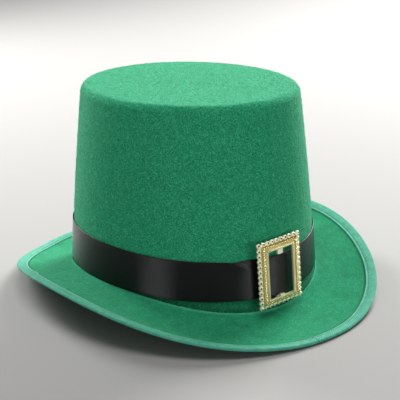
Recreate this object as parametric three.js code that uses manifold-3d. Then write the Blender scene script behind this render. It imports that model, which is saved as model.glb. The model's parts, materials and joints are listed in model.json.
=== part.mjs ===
// A leprechaun hat: a tall felt crown with a flat top, a curled felt brim with a bound edge, a satin ribbon
// round the crown and a beaded buckle that slides on the ribbon.
// Millimetres and degrees. Z is up and the front of the hat faces -Y. The hat stands on its brim at z = 0.
import * as THREE from 'three';
import { mergeVertices } from 'three/addons/utils/BufferGeometryUtils.js';
import Module from 'manifold-3d';

// Crown, measured from the mean level of the crease where it meets the brim
const crownHeight = 142;
const baseHalfLength = 99.3;
const baseHalfWidth = 90.9;
const topHalfLength = 88.4;
const topHalfWidth = 76.8;
const wallBulge = 1.2;
const shoulderRadius = 6;
const crownFelt = 2;
const flangeWidth = 6;
const flangeFelt = 1.4;

// Brim
const brimWidth = 50.8;
const brimFelt = 1.6;
const creaseRise = 9.3;
const settle = 1;

// Tape folded over the edge of the brim
const tapeWidth = 6.4;
const tapeThickness = 1;

// Ribbon round the crown
const bandWidth = 29;
const bandThickness = 1;
const bandClearance = 0.45;
const bandDip = 5.9;

// Buckle, measured through the centres of its border beads
const buckleWidth = 37.6;
const buckleHeight = 46.2;
const buckleAboveBand = 3.1;
const buckleTurn = 2.7;
const buckleTwist = 2.3;
const buckleRoll = 1.5;
const faceWidth = 7.1;
const faceLift = 1.8;
const faceThickness = 1.8;
const faceEdge = 1.35;
const faceRound = 0.45;
const beadRadius = 1.9;
const beadStandoff = 3.8;
const beadsAcross = 10;
const beadsUp = 13;
const barWidth = 4.8;
const barThickness = 1.2;
const barFoot = 3.4;
const lugHeight = 3.9;

// Clearance between pieces that are sewn or laid together
const joinGap = 0.3;

// Number of steps round the hat and along each curved stretch
const ringSteps = 60;
const wallSteps = 4;
const shoulderSteps = 3;
const heelSteps = 3;
const brimSteps = 7;
const liftStep = 3;
const beadSides = 10;
const beadRings = 4;

// The brim at eight places, seen from above and starting at the front.
// rise: height of the crease, a share of creaseRise. width: a share of brimWidth.
// inner and outer: slope of the felt at the crease and at the edge, in degrees.
const brimStations = [
  { place: 'front', rise: -0.77, width: 1.0, inner: -19.8, outer: 6.9 },
  { place: 'front right', rise: 0.11, width: 0.9, inner: -13.7, outer: 8.2 },
  { place: 'right', rise: 0.94, width: 0.79, inner: 6.5, outer: 25.5 },
  { place: 'back right', rise: -0.12, width: 0.9, inner: -3, outer: 20 },
  { place: 'back', rise: -1.17, width: 1.0, inner: -11.5, outer: 8.5 },
  { place: 'back left', rise: -0.2, width: 0.89, inner: -16, outer: 5.8 },
  { place: 'left', rise: 0.97, width: 0.78, inner: -2.2, outer: 14.9 },
  { place: 'front left', rise: 0.2, width: 0.89, inner: -11.5, outer: 10.4 },
];

// Drop of the ribbon's lower edge below its highest place, as shares of bandDip.
const bandStations = [
  { place: 'front', drop: 1.0 },
  { place: 'right', drop: 0.08 },
  { place: 'back', drop: 0.5 },
  { place: 'left', drop: 0 },
];

const wasm = await Module();
wasm.setup();

const radians = THREE.MathUtils.degToRad;
const lerp = THREE.MathUtils.lerp;
const fullTurn = 2 * Math.PI;

// Smooth closed curve through evenly spaced values, made of sines and cosines.
function roundTrip(rows, column) {
  const count = rows.length;
  const weight = (angle) => Math.sin((count * angle) / 2) / (count * Math.tan(angle / 2)) || 1;
  return (turn) => rows.reduce((sum, row, i) => sum + row[column] * weight(turn - (i * fullTurn) / count), 0);
}

const riseAt = roundTrip(brimStations, 'rise');
const widthAt = roundTrip(brimStations, 'width');
const innerSlopeAt = roundTrip(brimStations, 'inner');
const outerSlopeAt = roundTrip(brimStations, 'outer');
const bandDropAt = roundTrip(bandStations, 'drop');

const ringTurns = Array.from({ length: ringSteps }, (_, i) => (i * fullTurn) / ringSteps);

// Half length and half width of the crown's outside at a height.
function wallOval(z) {
  const share = z / crownHeight;
  const swell = 4 * wallBulge * share * (1 - share);
  return {
    long: lerp(baseHalfLength, topHalfLength, share) + swell,
    wide: lerp(baseHalfWidth, topHalfWidth, share) + swell,
  };
}

// A point beside the wall: a turn round the oval of one level, a distance out from it, and a height.
function beside(turn, level, out, z) {
  const { long, wide } = wallOval(level);
  const outward = new THREE.Vector3(Math.sin(turn) / wide, -Math.cos(turn) / long, 0).normalize();
  return new THREE.Vector3(wide * Math.sin(turn), -long * Math.cos(turn), z).addScaledVector(outward, out);
}

const creaseAt = (turn) => creaseRise * riseAt(turn);
const bandLowAt = (turn) => creaseRise + brimFelt / 2 + bandClearance - bandDip * bandDropAt(turn);
const edgeRadius = brimFelt / 2 + joinGap + tapeThickness;

// The middle of the brim's felt as one arc from the crease: its place and slope at a distance along the felt.
function feltArc(turn, along) {
  const width = brimWidth * widthAt(turn);
  const inner = radians(innerSlopeAt(turn));
  const bend = radians(outerSlopeAt(turn) - innerSlopeAt(turn)) * (along / width);
  const chord = along * (Math.sin(bend / 2) / (bend / 2) || 1);
  return {
    out: chord * Math.cos(inner + bend / 2),
    z: creaseAt(turn) + chord * Math.sin(inner + bend / 2),
    slope: inner + bend,
  };
}

// Underside of the bound edge, at its lower hem or its fold, before the hat's weight presses the brim.
function looseUnderside(turn) {
  const width = brimWidth * widthAt(turn);
  return Math.min(...[width - tapeWidth, width].map((along) => {
    const { z, slope } = feltArc(turn, along);
    return z - edgeRadius * Math.cos(slope);
  }));
}

// The lowest places at the front and back are pressed flat by the settle, so that the hat rests on them.
const restLevel = Math.min(...ringTurns.map(looseUnderside)) + settle;
const pressedUp = (turn) => Math.max(0, restLevel - looseUnderside(turn));

// A point of the brim: along the felt from the crease, then a distance above its middle and past its end.
function onBrim(turn, along, above, past = 0) {
  const { out, z, slope } = feltArc(turn, along);
  const tapeStart = brimWidth * widthAt(turn) - tapeWidth;
  const raised = pressedUp(turn) * Math.min(1, (along / tapeStart) ** 2);
  return beside(
    turn,
    creaseAt(turn),
    out - above * Math.sin(slope) + past * Math.cos(slope),
    z + raised + above * Math.cos(slope) + past * Math.sin(slope),
  );
}

// Joins sections into a closed solid. A section is a list of points, and each section is joined to the next.
// With poles, the first and last points of the sections are closed by a fan instead of being joined.
function solidFromSections(sections, poles = []) {
  const size = sections[0].length;
  const points = sections.flat();
  const faces = [];
  sections.forEach((_, i) => {
    const here = i * size;
    const next = ((i + 1) % sections.length) * size;
    const strips = poles.length ? size - 1 : size;
    for (let j = 0; j < strips; j += 1) {
      const k = (j + 1) % size;
      faces.push(here + j, next + j, next + k, here + j, next + k, here + k);
    }
    if (poles.length) {
      faces.push(here, points.length, next, here + size - 1, next + size - 1, points.length + 1);
    }
  });
  const solid = new THREE.BufferGeometry().setFromPoints([...points, ...poles]);
  solid.setIndex(facingOut([...points, ...poles], faces));
  return solid;
}

// Turns every face over if the volume that they enclose comes out negative.
function facingOut(points, faces) {
  let volume = 0;
  const edge = new THREE.Vector3();
  for (let i = 0; i < faces.length; i += 3) {
    const [a, b, c] = faces.slice(i, i + 3).map((index) => points[index]);
    volume += a.dot(edge.crossVectors(b, c));
  }
  return volume > 0 ? faces : faces.reverse();
}

// Felt bell: flat top, round shoulder, tapered wall, and a foot turned out under the brim.
function crownSection(turn) {
  const shoulder = crownHeight - shoulderRadius;
  const under = brimFelt / 2 + joinGap;
  const slope = feltArc(turn, 0).slope;
  const corner = creaseAt(turn) - under / Math.cos(slope);
  const level = (z) => THREE.MathUtils.clamp(z, creaseAt(turn), shoulder);
  const cap = (radius, step) => {
    const angle = (step * Math.PI) / 2 / shoulderSteps;
    const out = radius * Math.cos(angle) - shoulderRadius;
    return beside(turn, shoulder, out, shoulder + radius * Math.sin(angle));
  };
  const wall = (out, step) => {
    const z = lerp(corner, shoulder, step / wallSteps);
    return beside(turn, level(z), out, z);
  };
  const heel = (step) => {
    const angle = lerp(slope - Math.PI / 2, -Math.PI, step / heelSteps);
    const felt = lerp(flangeFelt, crownFelt, step / heelSteps);
    return beside(turn, level(corner), felt * Math.cos(angle), corner + felt * Math.sin(angle));
  };
  const points = [];
  for (let i = shoulderSteps; i > 0; i -= 1) points.push(cap(shoulderRadius, i));
  for (let i = wallSteps; i >= 0; i -= 1) points.push(wall(0, i));
  points.push(onBrim(turn, flangeWidth, -under));
  points.push(onBrim(turn, flangeWidth, -under - flangeFelt));
  for (let i = 0; i < heelSteps; i += 1) points.push(heel(i));
  for (let i = 0; i <= wallSteps; i += 1) points.push(wall(-crownFelt, i));
  for (let i = 1; i <= shoulderSteps; i += 1) points.push(cap(shoulderRadius - crownFelt, i));
  return points;
}

function crown() {
  const topMiddle = new THREE.Vector3(0, 0, crownHeight);
  const ceilingMiddle = new THREE.Vector3(0, 0, crownHeight - crownFelt);
  return solidFromSections(ringTurns.map(crownSection), [topMiddle, ceilingMiddle]);
}

// Felt ring: its cut inner edge stands beside the wall, and its outer edge goes into the tape.
function brimSection(turn) {
  const half = brimFelt / 2;
  const end = brimWidth * widthAt(turn) - joinGap;
  const { z, slope } = feltArc(turn, joinGap);
  const innerEdge = (side) => beside(turn, creaseAt(turn), joinGap, z + (side * half) / Math.cos(slope));
  const face = (side, step) => onBrim(turn, (end * step) / brimSteps, side * half);
  const points = [innerEdge(1)];
  for (let i = 1; i <= brimSteps; i += 1) points.push(face(1, i));
  for (let i = brimSteps; i > 0; i -= 1) points.push(face(-1, i));
  points.push(innerEdge(-1));
  return points;
}

// Tape folded over the brim's edge, a round fold outside and both hems on the felt.
function tapeSection(turn) {
  const width = brimWidth * widthAt(turn);
  const inside = edgeRadius - tapeThickness;
  const hem = (above) => onBrim(turn, width - tapeWidth, above);
  const fold = (radius, degrees) => {
    const angle = radians(degrees);
    return onBrim(turn, width, radius * Math.sin(angle), radius * Math.cos(angle));
  };
  return [
    hem(edgeRadius),
    ...[90, 45, 0, -45, -90].map((degrees) => fold(edgeRadius, degrees)),
    hem(-edgeRadius),
    hem(-inside),
    ...[-90, 0, 90].map((degrees) => fold(inside, degrees)),
    hem(inside),
  ];
}

// The ribbon runs behind the buckle's frame and over its middle bar, so it lifts off the wall there.
const barTurn = radians(buckleTurn);
const buckleRise = bandLowAt(barTurn) + bandWidth / 2 + buckleAboveBand;
const liftReach = buckleWidth / 2 - faceWidth / 2;
const fromBar = (turn) => wallOval(buckleRise).wide * Math.sin(turn - barTurn);

function bandLift(turn) {
  if (Math.cos(turn - barTurn) < 0) return 0;
  const slack = THREE.MathUtils.smoothstep(Math.abs(fromBar(turn)), barWidth / 2 + joinGap, liftReach);
  return (barThickness + 2 * joinGap) * (1 - slack);
}

// Even steps round the ribbon, and closer ones where it lifts over the bar.
function bandTurns() {
  const { wide } = wallOval(buckleRise);
  const steps = Math.round(liftReach / liftStep);
  const near = Array.from({ length: 2 * steps + 1 }, (_, i) => (
    barTurn + Math.asin((liftReach * (i - steps)) / (steps * wide))
  ));
  const nearReach = Math.asin(liftReach / wide) + ringTurns[1] / 2;
  const far = ringTurns.filter((turn) => Math.cos(turn - barTurn) < Math.cos(nearReach));
  return [...near, ...far].sort((a, b) => a - b);
}

function bandSection(turn) {
  const low = bandLowAt(turn);
  const high = low + bandWidth;
  const inside = joinGap + bandLift(turn);
  const outside = inside + bandThickness;
  return [
    beside(turn, low, inside, low),
    beside(turn, low, outside, low),
    beside(turn, high, outside, high),
    beside(turn, high, inside, high),
  ];
}

function asManifold(geometry) {
  const bare = geometry.clone();
  bare.deleteAttribute('normal');
  bare.deleteAttribute('uv');
  const merged = mergeVertices(bare, 1e-4);
  return new wasm.Manifold(new wasm.Mesh({
    numProp: 3,
    vertProperties: Float32Array.from(merged.attributes.position.array),
    triVerts: Uint32Array.from(merged.index.array),
  }));
}

function asGeometry(manifold) {
  const { vertProperties, triVerts } = manifold.getMesh();
  const geometry = new THREE.BufferGeometry();
  geometry.setAttribute('position', new THREE.BufferAttribute(vertProperties, 3));
  geometry.setIndex(new THREE.BufferAttribute(triVerts, 1));
  return geometry;
}

// The buckle's own frame: x to its right, y up its face and z out from the wall behind its middle.
function block(width, lowY, highY, backZ, frontZ) {
  const box = new THREE.BoxGeometry(width, highY - lowY, frontZ - backZ);
  return box.translate(0, (lowY + highY) / 2, (backZ + frontZ) / 2);
}

// Four-sided face that slopes up from the beads to the inner edge.
function buckleFace() {
  const outerFront = beadStandoff + faceRound;
  const innerFront = outerFront + faceLift;
  const profile = [
    { inward: -faceRound, out: outerFront - faceEdge },
    { inward: -faceRound, out: outerFront },
    { inward: faceWidth - 2 * faceRound, out: innerFront },
    { inward: faceWidth, out: innerFront - faceRound },
    { inward: faceWidth, out: innerFront - faceThickness },
  ];
  const corners = [[-1, -1], [1, -1], [1, 1], [-1, 1]];
  return solidFromSections(corners.map(([x, y]) => profile.map(({ inward, out }) => new THREE.Vector3(
    x * (buckleWidth / 2 - inward),
    y * (buckleHeight / 2 - inward),
    out,
  ))));
}

function beadCentres() {
  const centres = [];
  for (let i = 0; i < beadsAcross; i += 1) {
    const x = lerp(-buckleWidth / 2, buckleWidth / 2, i / (beadsAcross - 1));
    centres.push([x, buckleHeight / 2], [x, -buckleHeight / 2]);
  }
  for (let i = 1; i < beadsUp - 1; i += 1) {
    const y = lerp(-buckleHeight / 2, buckleHeight / 2, i / (beadsUp - 1));
    centres.push([-buckleWidth / 2, y], [buckleWidth / 2, y]);
  }
  return centres;
}

// Middle bar behind the ribbon. Its upper end shows as a lug above the ribbon, and its lower end joins the
// back of the face below the ribbon, with a small lug in front of the ribbon's edge.
function buckleBar() {
  const opening = buckleHeight / 2 - faceWidth;
  const bandLow = bandLowAt(barTurn) - buckleRise - joinGap * 2;
  const faceOut = beadStandoff + faceLift;
  const foot = bandLow - barFoot;
  return [
    block(barWidth, foot, opening + faceThickness, joinGap, joinGap + barThickness),
    block(barWidth, foot, bandLow, joinGap, beadStandoff),
    block(barWidth, opening - lugHeight, opening + faceThickness, joinGap, faceOut - faceThickness / 2),
    block(barWidth, -opening - faceThickness, -opening + faceThickness / 2, faceOut - faceThickness, faceOut),
  ];
}

function buckle() {
  const beads = beadCentres().map(([x, y]) => (
    new THREE.SphereGeometry(beadRadius, beadSides, beadRings)
      .rotateX(Math.PI / 2)
      .translate(x, y, beadStandoff)
  ));
  const pieces = [buckleFace(), ...buckleBar(), ...beads];
  return asGeometry(pieces.map(asManifold).reduce((whole, piece) => whole.add(piece)));
}

// Stands the buckle against the wall: facing out, leaning with it, then twisted and rolled by hand.
function placeBuckle(mesh) {
  const foot = beside(barTurn, buckleRise - buckleHeight / 2, 0, buckleRise - buckleHeight / 2);
  const head = beside(barTurn, buckleRise + buckleHeight / 2, 0, buckleRise + buckleHeight / 2);
  const up = head.clone().sub(foot).normalize();
  const outward = beside(barTurn, buckleRise, 1, 0).sub(beside(barTurn, buckleRise, 0, 0));
  outward.applyAxisAngle(new THREE.Vector3(0, 0, 1), radians(buckleTwist));
  const right = up.clone().cross(outward).normalize();
  outward.crossVectors(right, up);
  mesh.position.copy(beside(barTurn, buckleRise, 0, buckleRise));
  mesh.quaternion.setFromRotationMatrix(new THREE.Matrix4().makeBasis(right, up, outward));
  mesh.rotateZ(radians(buckleRoll));
}

function named(name, geometry, finish) {
  const mesh = new THREE.Mesh(geometry, new THREE.MeshStandardMaterial(finish));
  mesh.name = name;
  return mesh;
}

const tape = solidFromSections(ringTurns.map(tapeSection));
const felt = solidFromSections(ringTurns.map(brimSection));
const ribbon = solidFromSections(bandTurns().map(bandSection));
const fastener = named('buckle', buckle(), { color: '#d9bd62', roughness: 0.3, metalness: 0.9 });
placeBuckle(fastener);

const hat = new THREE.Group();
hat.add(
  named('crown', crown(), { color: '#1f7a4f', roughness: 0.95, metalness: 0 }),
  named('brim', felt, { color: '#23875a', roughness: 0.95, metalness: 0 }),
  named('brim_binding', tape, { color: '#4fb98f', roughness: 0.7, metalness: 0 }),
  named('hat_band', ribbon, { color: '#1b1b1f', roughness: 0.35, metalness: 0 }),
  fastener,
);

// The tape is the widest and lowest piece, so it sets the middle of the hat and the level that it stands on.
tape.computeBoundingBox();
const middle = tape.boundingBox.getCenter(new THREE.Vector3());
hat.position.set(-middle.x, -middle.y, -tape.boundingBox.min.z);

export default hat;
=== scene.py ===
"""The looks of a leprechaun hat: felt crown and brim, bound edge, satin ribbon and beaded buckle.

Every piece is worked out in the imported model's frame, in metres: Z is up, the front faces -Y and the hat
stands on its brim. The hat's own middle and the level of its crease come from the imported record.
"""
import json
import math

import bpy
import numpy as np
from mathutils import Matrix


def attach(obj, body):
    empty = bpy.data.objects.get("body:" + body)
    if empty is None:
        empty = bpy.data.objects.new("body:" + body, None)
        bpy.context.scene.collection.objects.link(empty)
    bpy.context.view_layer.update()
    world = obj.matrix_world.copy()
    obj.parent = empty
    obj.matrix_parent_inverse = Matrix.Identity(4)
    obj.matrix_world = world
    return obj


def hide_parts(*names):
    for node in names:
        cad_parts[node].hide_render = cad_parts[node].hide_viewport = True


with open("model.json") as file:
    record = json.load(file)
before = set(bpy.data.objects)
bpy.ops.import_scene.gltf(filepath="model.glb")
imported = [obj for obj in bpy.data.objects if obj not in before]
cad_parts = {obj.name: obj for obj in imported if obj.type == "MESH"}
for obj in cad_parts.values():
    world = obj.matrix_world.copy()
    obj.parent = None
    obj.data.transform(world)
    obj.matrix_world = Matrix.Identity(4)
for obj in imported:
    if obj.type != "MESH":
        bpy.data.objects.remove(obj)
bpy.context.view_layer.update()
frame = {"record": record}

MM = 0.001
FULL_TURN = 2 * math.pi

# Crown, measured from the mean level of the crease where it meets the brim
CROWN_HEIGHT = 142 * MM
BASE_HALF_LENGTH = 99.3 * MM
BASE_HALF_WIDTH = 90.9 * MM
TOP_HALF_LENGTH = 88.4 * MM
TOP_HALF_WIDTH = 76.8 * MM
WALL_BULGE = 1.2 * MM
SHOULDER_RADIUS = 6 * MM
CROWN_FELT = 2 * MM
FLANGE_WIDTH = 6 * MM
FLANGE_FELT = 1.4 * MM

# Brim
BRIM_WIDTH = 50.8 * MM
BRIM_FELT = 1.6 * MM
CREASE_RISE = 9.3 * MM
CAD_EDGE_RADIUS = 2.1 * MM
CAD_TAPE_WIDTH = 6.4 * MM
SETTLE = 1 * MM

# The brim at eight places from the front round by the right: height of the crease as a share of CREASE_RISE,
# width as a share of BRIM_WIDTH, and the felt's slope at the crease and at the edge in degrees
BRIM_RISE = (-0.77, 0.11, 0.94, -0.12, -1.17, -0.2, 0.97, 0.2)
BRIM_SPREAD = (1.0, 0.9, 0.79, 0.9, 1.0, 0.89, 0.78, 0.89)
BRIM_INNER_SLOPE = (-19.8, -13.7, 6.5, -3, -11.5, -16, -2.2, -11.5)
BRIM_OUTER_SLOPE = (6.9, 8.2, 25.5, 20, 8.5, 5.8, 14.9, 10.4)

# Tape folded over the edge of the brim
TAPE_WIDTH = 7.2 * MM
TAPE_THICKNESS = 0.42 * MM
TAPE_RADIUS = 1.25 * MM
SEAM_INSET = 1.7 * MM
TAPE_NARROWING = 1.3 * MM
TAPE_NARROW_TURN = math.radians(35)
TAPE_KINK = FULL_TURN + math.radians(-103)
STITCH_PITCH = 3.0 * MM
STITCH_LENGTH = 2.3 * MM
STITCH_RADIUS = 0.2 * MM

# Ribbon round the crown, with its lower edge's drop at the front, right, back and left as a share of BAND_DIP
BAND_WIDTH = 29 * MM
BAND_THICKNESS = 0.36 * MM
BAND_GAP = 0.7 * MM
BAND_CLEARANCE = 0.45 * MM
BAND_DIP = 5.9 * MM
BAND_DROP = (1.0, 0.08, 0.5, 0.0)

# Pleat in the ribbon: where its line crosses the upper edge, how steeply it slants, how far it runs and stands
PLEAT_TURN = math.radians(-16.5)
PLEAT_TOP = 0.93
PLEAT_SLANT = 34 * MM
PLEAT_REACH = 0.09
PLEAT_HEIGHT = 1.0 * MM
PLEAT_DIP = -1.5 * MM
PLEAT_RISE = 2.2 * MM
PLEAT_EASE = 0.035

# Buckle, measured through the centres of its border beads
BUCKLE_WIDTH = 37.6 * MM
BUCKLE_HEIGHT = 46.2 * MM
BUCKLE_ABOVE_BAND = 3.1 * MM
BUCKLE_TURN = math.radians(2.7)
BUCKLE_TWIST = math.radians(2.3)
BUCKLE_ROLL = math.radians(1.5)
FACE_WIDTH = 7.1 * MM
FACE_LIFT = 1.8 * MM
FACE_THICKNESS = 1.8 * MM
BEAD_RADIUS = 1.7 * MM
BEAD_STANDOFF = 3.8 * MM
BEADS_ACROSS = 10
BEADS_UP = 13
BAR_WIDTH = 4.8 * MM
BAR_THICKNESS = 1.2 * MM
BAR_FOOT = 3.4 * MM
LUG_HEIGHT = 3.9 * MM
END_TRIM = 0.9 * MM
FOOT_TRIM = 2.2 * MM
BEAD_LEAN = 0.35
ROPE_INSET = 3.35 * MM
ROPE_PITCH = 2.1 * MM
ROPE_SLANT = math.radians(35)
RIB_PITCH = 1.6 * MM
JOIN_GAP = 0.3 * MM

# The photograph's camera, beside the hat's own middle at the crease level
CAMERA_PLACE = np.array([-438.064, -646.192, 302.619]) * MM
CAMERA_AZIMUTH = math.radians(-34.615)
CAMERA_ELEVATION = math.radians(17.969)
CAMERA_ROLL = math.radians(-1.093)
CAMERA_LENS = 96.18
SENSOR_WIDTH = 36.0

# Steps round the hat, and rings down the crown's outside
RING_STEPS = 480
CROWN_STEPS = 520
SHOULDER_RINGS = 9
WALL_RINGS = 88
OUTER_RINGS = SHOULDER_RINGS + WALL_RINGS

# Felt nap: size of its fine relief
NAP_RELIEF = 0.1 * MM
CREASE_LIP = 0.95 * MM
CREASE_REACH = 0.85 * MM
BRIM_ROWS = 52

crown_top = np.array(frame["record"]["mounts"][0]["pos_m"])
HAT_MIDDLE = crown_top - np.array([0, 0, CROWN_HEIGHT])


def set_axes(thing, right, up, back, place):
    """Puts a camera or a light at a place, with its own x, y and z along three directions."""
    rows = np.eye(4)
    rows[:3] = np.column_stack([right, up, back, place])
    thing.matrix_world = Matrix(rows.tolist())


def make_camera():
    """Camera at the photograph's place, looking back along its azimuth and elevation, and rolled."""
    a, e, roll = CAMERA_AZIMUTH, CAMERA_ELEVATION, CAMERA_ROLL
    back = np.array([math.sin(a) * math.cos(e), -math.cos(a) * math.cos(e), math.sin(e)])
    level_right = np.array([math.cos(a), math.sin(a), 0])
    level_up = np.cross(back, level_right)
    right = math.cos(roll) * level_right + math.sin(roll) * level_up
    up = math.cos(roll) * level_up - math.sin(roll) * level_right
    data = bpy.data.cameras.new("photo_camera")
    data.lens = CAMERA_LENS
    data.sensor_width = SENSOR_WIDTH
    data.clip_start = 0.01
    data.clip_end = 50
    camera = bpy.data.objects.new("photo_camera", data)
    bpy.context.scene.collection.objects.link(camera)
    set_axes(camera, right, up, back, CAMERA_PLACE + HAT_MIDDLE)
    bpy.context.scene.camera = camera


make_camera()


# Shape of the hat

def round_trip(values, turn):
    """Smooth closed curve through evenly spaced values: the sum of each value times
    sin(n a / 2) / (n tan(a / 2)), where a is the turn from that value's place."""
    count = len(values)
    total = np.zeros_like(turn)
    for i, value in enumerate(values):
        from_place = turn - i * FULL_TURN / count
        tangent = np.tan(from_place / 2)
        near = np.abs(tangent) < 1e-9
        weight = np.sin(count * from_place / 2) / np.where(near, 1, count * tangent)
        total = total + value * np.where(near, 1, weight)
    return total


def ring_turns(steps=RING_STEPS):
    """Even turns round the hat, from the front by the right."""
    return np.arange(steps) * FULL_TURN / steps


def wall_oval(level):
    """Half length and half width of the crown at a level: a straight taper plus a parabola's bulge."""
    share = level / CROWN_HEIGHT
    swell = 4 * WALL_BULGE * share * (1 - share)
    half_length = BASE_HALF_LENGTH + (TOP_HALF_LENGTH - BASE_HALF_LENGTH) * share + swell
    half_width = BASE_HALF_WIDTH + (TOP_HALF_WIDTH - BASE_HALF_WIDTH) * share + swell
    return half_length, half_width


def beside(turn, level, out, z):
    """Points beside the crown's wall: on the oval of a level at a turn, moved out along its normal, at height z."""
    half_length, half_width = wall_oval(level)
    across = np.sin(turn) / half_width
    ahead = -np.cos(turn) / half_length
    size = np.hypot(across, ahead)
    x = half_width * np.sin(turn) + out * across / size
    y = -half_length * np.cos(turn) + out * ahead / size
    return np.stack(np.broadcast_arrays(x, y, z), axis=-1) + HAT_MIDDLE


def crease_level(turn):
    return CREASE_RISE * round_trip(BRIM_RISE, turn)


def brim_width(turn):
    return BRIM_WIDTH * round_trip(BRIM_SPREAD, turn)


def felt_arc(turn, along):
    """The middle of the brim's felt as one arc from the crease: how far out, how high and how steep it is
    at a distance along the felt. The slope goes evenly from the inner one to the outer one."""
    inner = np.radians(round_trip(BRIM_INNER_SLOPE, turn))
    outer = np.radians(round_trip(BRIM_OUTER_SLOPE, turn))
    bend = (outer - inner) * along / brim_width(turn)
    chord = along * np.sinc(bend / 2 / math.pi)
    return chord * np.cos(inner + bend / 2), crease_level(turn) + chord * np.sin(inner + bend / 2), inner + bend


def loose_underside(turn):
    """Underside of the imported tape, at its lower hem or its fold, before the hat's weight presses the brim."""
    width = brim_width(turn)
    levels = []
    for along in (width - CAD_TAPE_WIDTH, width):
        _, z, slope = felt_arc(turn, along)
        levels.append(z - CAD_EDGE_RADIUS * np.cos(slope))
    return np.minimum(*levels)


REST_LEVEL = loose_underside(ring_turns(60)).min() + SETTLE


def on_brim(turn, along, above, past=0.0):
    """Points of the brim: along the felt from the crease, then a distance above its middle and past its end.
    Where the hat rests, the felt is pressed up to the resting level."""
    out, z, slope = felt_arc(turn, along)
    pressed = np.maximum(0, REST_LEVEL - loose_underside(turn))
    share = np.clip(along / (brim_width(turn) - CAD_TAPE_WIDTH), 0, 1) ** 2
    up = z + pressed * share + above * np.cos(slope) + past * np.sin(slope)
    return beside(turn, crease_level(turn), out - above * np.sin(slope) + past * np.cos(slope), up)


def soft_waves(turn, height, size, seed):
    """Gentle unevenness of hand-pressed felt: a sum of sines with a few turns and rises, of a given size."""
    draw = np.random.default_rng(seed)
    total = 0.0
    for turns in (2, 3, 5, 7, 11):
        rise = draw.uniform(18, 60)
        phase = draw.uniform(0, FULL_TURN, 2)
        total = total + np.sin(turns * turn + phase[0]) * np.cos(rise * height + phase[1]) / math.sqrt(turns)
    return size * total / 2


# Meshes from grids

def grid_faces(rows, columns, closed_rows=True):
    """Triangles that join each point of a grid to its next ones. The columns close on themselves, and the
    rows may."""
    i = np.arange(rows if closed_rows else rows - 1)[:, None]
    j = np.arange(columns)[None, :]
    next_i = (i + 1) % rows
    next_j = (j + 1) % columns
    a, b, c, d = (np.broadcast_arrays(i * columns + j, next_i * columns + j,
                                      next_i * columns + next_j, i * columns + next_j))
    return np.stack([a, b, c, a, c, d], axis=-1).reshape(-1, 3)


def capped_grid(rows, first_pole, last_pole):
    """Points and triangles of a grid whose columns close on themselves and whose ends close on two poles."""
    count, columns = rows.shape[:2]
    points = np.concatenate([rows.reshape(-1, 3), [first_pole], [last_pole]])
    here = np.arange(columns)
    after = (here + 1) % columns
    last = (count - 1) * columns
    pole = np.full(columns, count * columns)
    faces = np.concatenate([
        grid_faces(count, columns, closed_rows=False),
        np.stack([pole, here, after], axis=1),
        np.stack([here + last, pole + 1, after + last], axis=1),
    ])
    return points, faces


def enclosed(points, faces):
    """Volume inside triangles, as the sum of the tetrahedra from the origin to them."""
    a, b, c = (points[faces[:, i]] for i in range(3))
    return (np.cross(a, b) * c).sum() / 6


def joined(parts):
    """Several closed shells' points and faces as one, each turned to face outwards."""
    points = np.concatenate([part[0] for part in parts])
    starts = np.cumsum([0] + [len(part[0]) for part in parts[:-1]])
    faces = [
        (part[1] if enclosed(*part) > 0 else part[1][:, ::-1]) + start
        for part, start in zip(parts, starts)
    ]
    return points, np.concatenate(faces)


def add_mesh(name, points, faces, material, uv=None, attributes=None):
    """A smooth mesh object from arrays, with an optional UV map in metres and named numbers per point.
    Its faces are turned to point outwards."""
    if enclosed(points, faces) < 0:
        faces = faces[:, ::-1]
    mesh = bpy.data.meshes.new(name)
    mesh.vertices.add(len(points))
    mesh.vertices.foreach_set("co", points.astype(np.float32).ravel())
    loops = faces.ravel()
    mesh.loops.add(len(loops))
    mesh.loops.foreach_set("vertex_index", loops.astype(np.int32))
    mesh.polygons.add(len(faces))
    mesh.polygons.foreach_set("loop_start", np.arange(0, len(loops), 3, dtype=np.int32))
    mesh.polygons.foreach_set("use_smooth", np.ones(len(faces), dtype=bool))
    mesh.update(calc_edges=True)
    if uv is not None:
        layer = mesh.uv_layers.new(name="surface")
        layer.data.foreach_set("uv", uv[loops].astype(np.float32).ravel())
    for label, values in (attributes or {}).items():
        attribute = mesh.attributes.new(label, "FLOAT", "POINT")
        attribute.data.foreach_set("value", values.astype(np.float32).ravel())
    mesh.validate()
    mesh.materials.append(material)
    piece = bpy.data.objects.new(name, mesh)
    bpy.context.scene.collection.objects.link(piece)
    return piece


# Materials

def add_node(tree, kind, **values):
    """A shader node with its settings and the values of its named inputs."""
    node = tree.nodes.new(kind)
    for key, value in values.items():
        if hasattr(node, key):
            setattr(node, key, value)
        else:
            node.inputs[key.replace("_", " ")].default_value = value
    return node


def mixed(tree, factor, first, second, blend="MIX"):
    """A colour mix of two sockets or colours by a factor socket or number, returned as its result socket."""
    node = tree.nodes.new("ShaderNodeMix")
    node.data_type = "RGBA"
    node.blend_type = blend
    for socket, value in ((node.inputs[0], factor), (node.inputs[6], first), (node.inputs[7], second)):
        if isinstance(value, bpy.types.NodeSocket):
            tree.links.new(value, socket)
        else:
            socket.default_value = value
    return node.outputs[2]


def math_node(tree, operation, *values):
    """A Math node of sockets or numbers, returned as its result socket."""
    node = tree.nodes.new("ShaderNodeMath")
    node.operation = operation
    for socket, value in zip(node.inputs, values):
        if isinstance(value, bpy.types.NodeSocket):
            tree.links.new(value, socket)
        else:
            socket.default_value = value
    return node.outputs[0]


def ramp(tree, value, low, high):
    """A value spread from low..high to 0..1, clamped, returned as a socket."""
    node = tree.nodes.new("ShaderNodeMapRange")
    tree.links.new(value, node.inputs[0])
    node.inputs[1].default_value = low
    node.inputs[2].default_value = high
    return node.outputs[0]


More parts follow.
